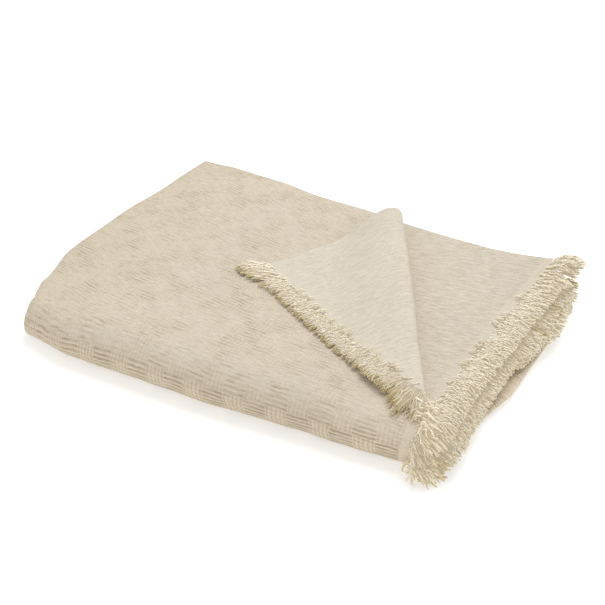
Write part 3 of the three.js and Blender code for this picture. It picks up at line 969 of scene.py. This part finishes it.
def cloth_material(name, sizes, colour, side, groove_share, dash_share, relief):
    """One side of the cloth: the weave colours it with painted shade in its grooves, breaks its light and
    stops short of its ends.
    """
    colours = bpy.context.scene.throw_colours
    material = bpy.data.materials.new(name)
    material.use_nodes = True
    tree = material.node_tree
    surface = tree.nodes["Principled BSDF"]
    square = add(tree, "UVMap", uv_map="flat_cloth").outputs[0]
    slipped = add(tree, "CombineXYZ", {1: stored(tree, "slip")}).outputs[0]
    flat = add(tree, "VectorMath", {0: square, 1: slipped}, operation="ADD").outputs[0]
    weave = add(tree, "Group", {}, node_tree=weave_group(sizes.block))
    tree.links.new(flat, weave.inputs[0])
    body = ramp(tree, stored(tree, "near_end"), 0.009, 0.013)
    bent, nap, worn, warm_shade = (stored(tree, name) for name in ("bend", "nap", "worn", "warm_shade"))
    patch = grain(tree, flat, EVEN, 9, 2)
    # the ribs show in loose patches all over, and fully where the cloth is bent
    shown = ramp(tree, grain(tree, flat, EVEN, 24, 2), 0.44, 0.60)
    shown = sums(tree, "MULTIPLY_ADD", shown, 0.62, 0.15)
    shown = sums(tree, "MAXIMUM", shown, sums(tree, "MULTIPLY", bent, 1.75))
    open_ribs = sums(tree, "MULTIPLY", body, shown)
    dashes = sums(
        tree, "MULTIPLY", weave.outputs["Dash"],
        sums(tree, "MULTIPLY", body, sums(tree, "MULTIPLY_ADD", nap, 0.14, dash_share)),
    )
    if side == "Block":
        # the broken lines along the cloth are fewer where its ribs run across
        fewer = sums(tree, "MULTIPLY_ADD", weave.outputs["Crossed"], -0.55, 1.1)
        dashes = sums(tree, "MULTIPLY", dashes, fewer)
    # painted shade in the grooves between open ribs, with the weave's own broken lines, takes the colour
    # towards the groove colour
    groove = sums(
        tree, "ADD", sums(tree, "MULTIPLY", weave.outputs[side + " Groove"], open_ribs), dashes
    )
    groove = sums(tree, "MULTIPLY", groove, groove_share)
    speck = grain(tree, flat, SPECKS, 420, 2, 0.7)
    base = tint(tree, groove, (*colour, 1), (*colours.groove, 1))
    fleck = grain(tree, flat, FLECKS, 1.0, 2, 0.6)
    # the tone: patches, specks, slubs and flecks of the yarns, a little darker past the first sheet, and
    # painted light over the shade of the bent front and of the paler folds
    shade = sums(tree, "MULTIPLY_ADD", nap, -0.045, 0.462)
    for part, share in (
        (patch, 0.06), (speck, 0.40), (weave.outputs["Slub"], 0.32),
        (fleck, 0.40), (bent, 0.085), (worn, 0.16),
    ):
        shade = sums(tree, "MULTIPLY_ADD", part, share, shade)
    level = add(tree, "CombineColor", {0: shade, 1: shade, 2: shade}).outputs[0]
    # painted warm shade along the folds
    base = tint(tree, warm_shade, base, WARM_SHADE_TONE, "MULTIPLY")
    base = tint(tree, nap, base, LATER_SHEET_TONE, "MULTIPLY")
    tree.links.new(tint(tree, 1.0, base, level, "MULTIPLY"), surface.inputs["Base Color"])
    ribs_high = sums(tree, "MULTIPLY", weave.outputs[side + " Height"], open_ribs)
    fuzz = sums(tree, "MULTIPLY", speck, 0.8)
    slubs = sums(tree, "MULTIPLY", dashes, -1.4)
    slubs = sums(tree, "MULTIPLY_ADD", weave.outputs["Slub"], 1.2, slubs)
    height = sums(tree, "ADD", sums(tree, "ADD", ribs_high, fuzz), slubs)
    bump = add(tree, "Bump", {"Height": height, "Strength": 1.0, "Distance": sizes.relief * relief})
    tree.links.new(bump.outputs[0], surface.inputs["Normal"])
    surface.inputs["Roughness"].default_value = 0.95
    surface.inputs["Specular IOR Level"].default_value = 0.15
    surface.inputs["Sheen Weight"].default_value = 0.15
    surface.inputs["Sheen Roughness"].default_value = 0.6
    return material


def face_material(sizes):
    colour = bpy.context.scene.throw_colours.face
    return cloth_material("cloth face cotton", sizes, colour, "Block", 0.95, 0.17, 1.0)


def reverse_material(sizes):
    colour = bpy.context.scene.throw_colours.reverse
    return cloth_material("cloth reverse cotton", sizes, colour, "Plain", 0.60, 0.20, 0.8)


def fringe_material(sizes):
    """Twisted yarn, lighter at its tip, with painted olive shade at its root where the yarns crowd
    together.
    """
    colours = bpy.context.scene.throw_colours
    material = bpy.data.materials.new("fringe cotton")
    material.use_nodes = True
    tree = material.node_tree
    surface = tree.nodes["Principled BSDF"]
    run = add(tree, "UVMap", uv_map="along_yarn").outputs[0]
    parts = add(tree, "SeparateXYZ", {0: run})
    around, along = parts.outputs[0], parts.outputs[1]
    ply = sums(tree, "MULTIPLY_ADD", along, sizes.fringe / PLY_TURN, around)
    twist = ribs(tree, ply, 0.5)
    # painted shade: deep-lying yarns take the olive root colour towards their roots
    near_root = ramp(tree, along, 0.75, 0.1)
    root_shade = sums(tree, "MULTIPLY_ADD", near_root, 0.35, 0.35)
    root_shade = sums(tree, "MULTIPLY", stored(tree, "deep"), root_shade)
    colour = tint(tree, root_shade, (*colours.fringe, 1), (*colours.root, 1))
    # yarns that lie under others, or in a hollow, are painted olive at their tips as their shadow
    shadow_rim = sums(tree, "MULTIPLY", stored(tree, "under"), ramp(tree, along, 0.64, 0.94))
    shadow_rim = sums(tree, "MULTIPLY", shadow_rim, 0.85)
    colour = tint(tree, shadow_rim, colour, SHADOW_OLIVE)
    shade = sums(tree, "MULTIPLY_ADD", stored(tree, "tint"), 0.08, 0.92)
    # painted light on the yarns at the foot of the roll, on those that fall over the front and a little
    # on the turned corner's
    shade = sums(tree, "MULTIPLY_ADD", stored(tree, "pale"), 0.50, shade)
    shade = sums(tree, "ADD", shade, sums(tree, "MULTIPLY", twist, 0.04))
    level = add(tree, "CombineColor", {0: shade, 1: shade, 2: shade}).outputs[0]
    tree.links.new(tint(tree, 1.0, colour, level, "MULTIPLY"), surface.inputs["Base Color"])
    # loose fibres spread the light round each yarn, so its normal leans a little upwards
    normal = add(tree, "NewGeometry").outputs["Normal"]
    normal = add(tree, "Mix", {0: 0.20, 4: normal, 5: (0, 0, 1)}, data_type="VECTOR").outputs[1]
    normal = add(tree, "VectorMath", {0: normal}, operation="NORMALIZE").outputs[0]
    bump = add(
        tree, "Bump",
        {"Height": twist, "Strength": 0.3, "Distance": sizes.yarn * 0.1, "Normal": normal},
    )
    tree.links.new(bump.outputs[0], surface.inputs["Normal"])
    surface.inputs["Roughness"].default_value = 0.9
    surface.inputs["Specular IOR Level"].default_value = 0.05
    surface.inputs["Subsurface Weight"].default_value = 1.0
    surface.inputs["Subsurface Radius"].default_value = (1.0, 0.9, 0.7)
    surface.inputs["Subsurface Scale"].default_value = 0.006
    # a faint glow stands for the light that many thin yarns scatter between them
    tree.links.new(tint(tree, shadow_rim, GLOW_PALE, GLOW_OLIVE), surface.inputs["Emission Color"])
    surface.inputs["Emission Strength"].default_value = GLOW
    return material


# ---- the operators ----
class THROW_OT_cloth(bpy.types.Operator):
    """Make the woven cloth, folded and with its corner turned back"""

    bl_idname = "throw.cloth"
    bl_label = "Folded Cloth"

    def execute(self, context):
        cloth = make_cloth(context.scene.throw_sizes)
        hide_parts("throw_cloth")
        finish_piece(cloth)
        return {"FINISHED"}


class THROW_OT_fringes(bpy.types.Operator):
    """Make the cut fringes on both ends of the cloth and hang them on the frame's root body"""

    bl_idname = "throw.fringes"
    bl_label = "Cut Fringes"

    def execute(self, context):
        sizes = context.scene.throw_sizes
        for end, seed in (("a", 11), ("b", 29)):
            fringe = make_fringe("yarn_fringe_" + end, end, sizes, seed)
            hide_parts("fringe_end_" + end)
            finish_piece(fringe)
        return {"FINISHED"}


class THROW_OT_stage(bpy.types.Operator):
    """Make the pale floor, the soft lights and the camera"""

    bl_idname = "throw.stage"
    bl_label = "Studio"

    def execute(self, context):
        studio = context.scene.throw_studio
        make_floor(context.scene.throw_colours.floor, studio.glow)
        make_lights(studio)
        make_camera(studio)
        return {"FINISHED"}


def make_floor(colour, glow):
    """A pale floor that glows a little, as a light table does, so it shows only a faint shadow."""
    bm = bmesh.new()
    bmesh.ops.create_grid(bm, x_segments=1, y_segments=1, size=FLOOR_SIDE / 2)
    mesh = bpy.data.meshes.new("floor")
    bm.to_mesh(mesh)
    bm.free()
    material = bpy.data.materials.new("pale floor")
    material.use_nodes = True
    surface = material.node_tree.nodes["Principled BSDF"]
    surface.inputs["Base Color"].default_value = (*colour, 1)
    surface.inputs["Roughness"].default_value = 0.9
    surface.inputs["Specular IOR Level"].default_value = 0.0
    surface.inputs["Emission Color"].default_value = (1, 1, 1, 1)
    surface.inputs["Emission Strength"].default_value = glow
    mesh.materials.append(material)
    link(bpy.data.objects.new("floor", mesh))


def make_lights(studio):
    world = bpy.data.worlds.new("room")
    world.use_nodes = True
    sky = world.node_tree.nodes["Background"]
    sky.inputs["Color"].default_value = (1, 1, 1, 1)
    sky.inputs["Strength"].default_value = studio.room
    bpy.context.scene.world = world
    lamp = bpy.data.lights.new("soft lamp", "AREA")
    lamp.shape = "DISK"
    lamp.size = LAMP_SIZE
    lamp.energy = studio.lamp
    lamp.color = LAMP_COLOUR
    stand = link(bpy.data.objects.new("soft lamp", lamp))
    stand.location = LAMP_PLACE
    stand.rotation_euler = (-stand.location).to_track_quat("-Z", "Y").to_euler()


def make_camera(studio):
    """The camera looks at the middle of the pile from the right of its front, from above."""
    a, e = studio.turn, studio.tilt
    right = Vector((math.cos(a), math.sin(a), 0))
    back = Vector((math.sin(a) * math.cos(e), -math.cos(a) * math.cos(e), math.sin(e)))
    up = back.cross(right)
    aim = Vector(AIM - ORIGIN) * MM
    camera = bpy.data.cameras.new("camera")
    camera.lens = studio.lens
    camera.sensor_width = 36
    camera.clip_start = 0.05
    stand = link(bpy.data.objects.new("camera", camera))
    turned = Matrix((right, up, back)).transposed().to_4x4()
    turned.translation = aim + back * studio.away + right * FRAMING[0] + up * FRAMING[1]
    stand.matrix_world = turned
    bpy.context.scene.camera = stand


class THROW_PT_panel(bpy.types.Panel):
    """Sizes, colours and steps of the throw"""

    bl_label = "Folded Throw"
    bl_idname = "THROW_PT_panel"
    bl_space_type = "VIEW_3D"
    bl_region_type = "UI"
    bl_category = "Throw"

    def draw(self, context):
        layout = self.layout
        for group in (context.scene.throw_sizes, context.scene.throw_colours, context.scene.throw_studio):
            box = layout.box()
            for name in group.bl_rna.properties.keys():
                if name not in ("rna_type", "name"):
                    box.prop(group, name)
        for step in (THROW_OT_cloth, THROW_OT_fringes, THROW_OT_stage):
            layout.operator(step.bl_idname)


CLASSES = (
    ThrowSizes, ThrowColours, ThrowStudio,
    THROW_OT_cloth, THROW_OT_fringes, THROW_OT_stage, THROW_PT_panel,
)


def register():
    for cls in CLASSES:
        bpy.utils.register_class(cls)
    bpy.types.Scene.throw_sizes = PointerProperty(type=ThrowSizes)
    bpy.types.Scene.throw_colours = PointerProperty(type=ThrowColours)
    bpy.types.Scene.throw_studio = PointerProperty(type=ThrowStudio)


def unregister():
    for name in ("throw_sizes", "throw_colours", "throw_studio"):
        delattr(bpy.types.Scene, name)
    for cls in reversed(CLASSES):
        bpy.utils.unregister_class(cls)


def main():
    register()
    bpy.ops.throw.cloth()
    bpy.ops.throw.fringes()
    bpy.ops.throw.stage()
    bpy.context.scene.view_settings.view_transform = "Standard"


if __name__ == "__main__":
    main()
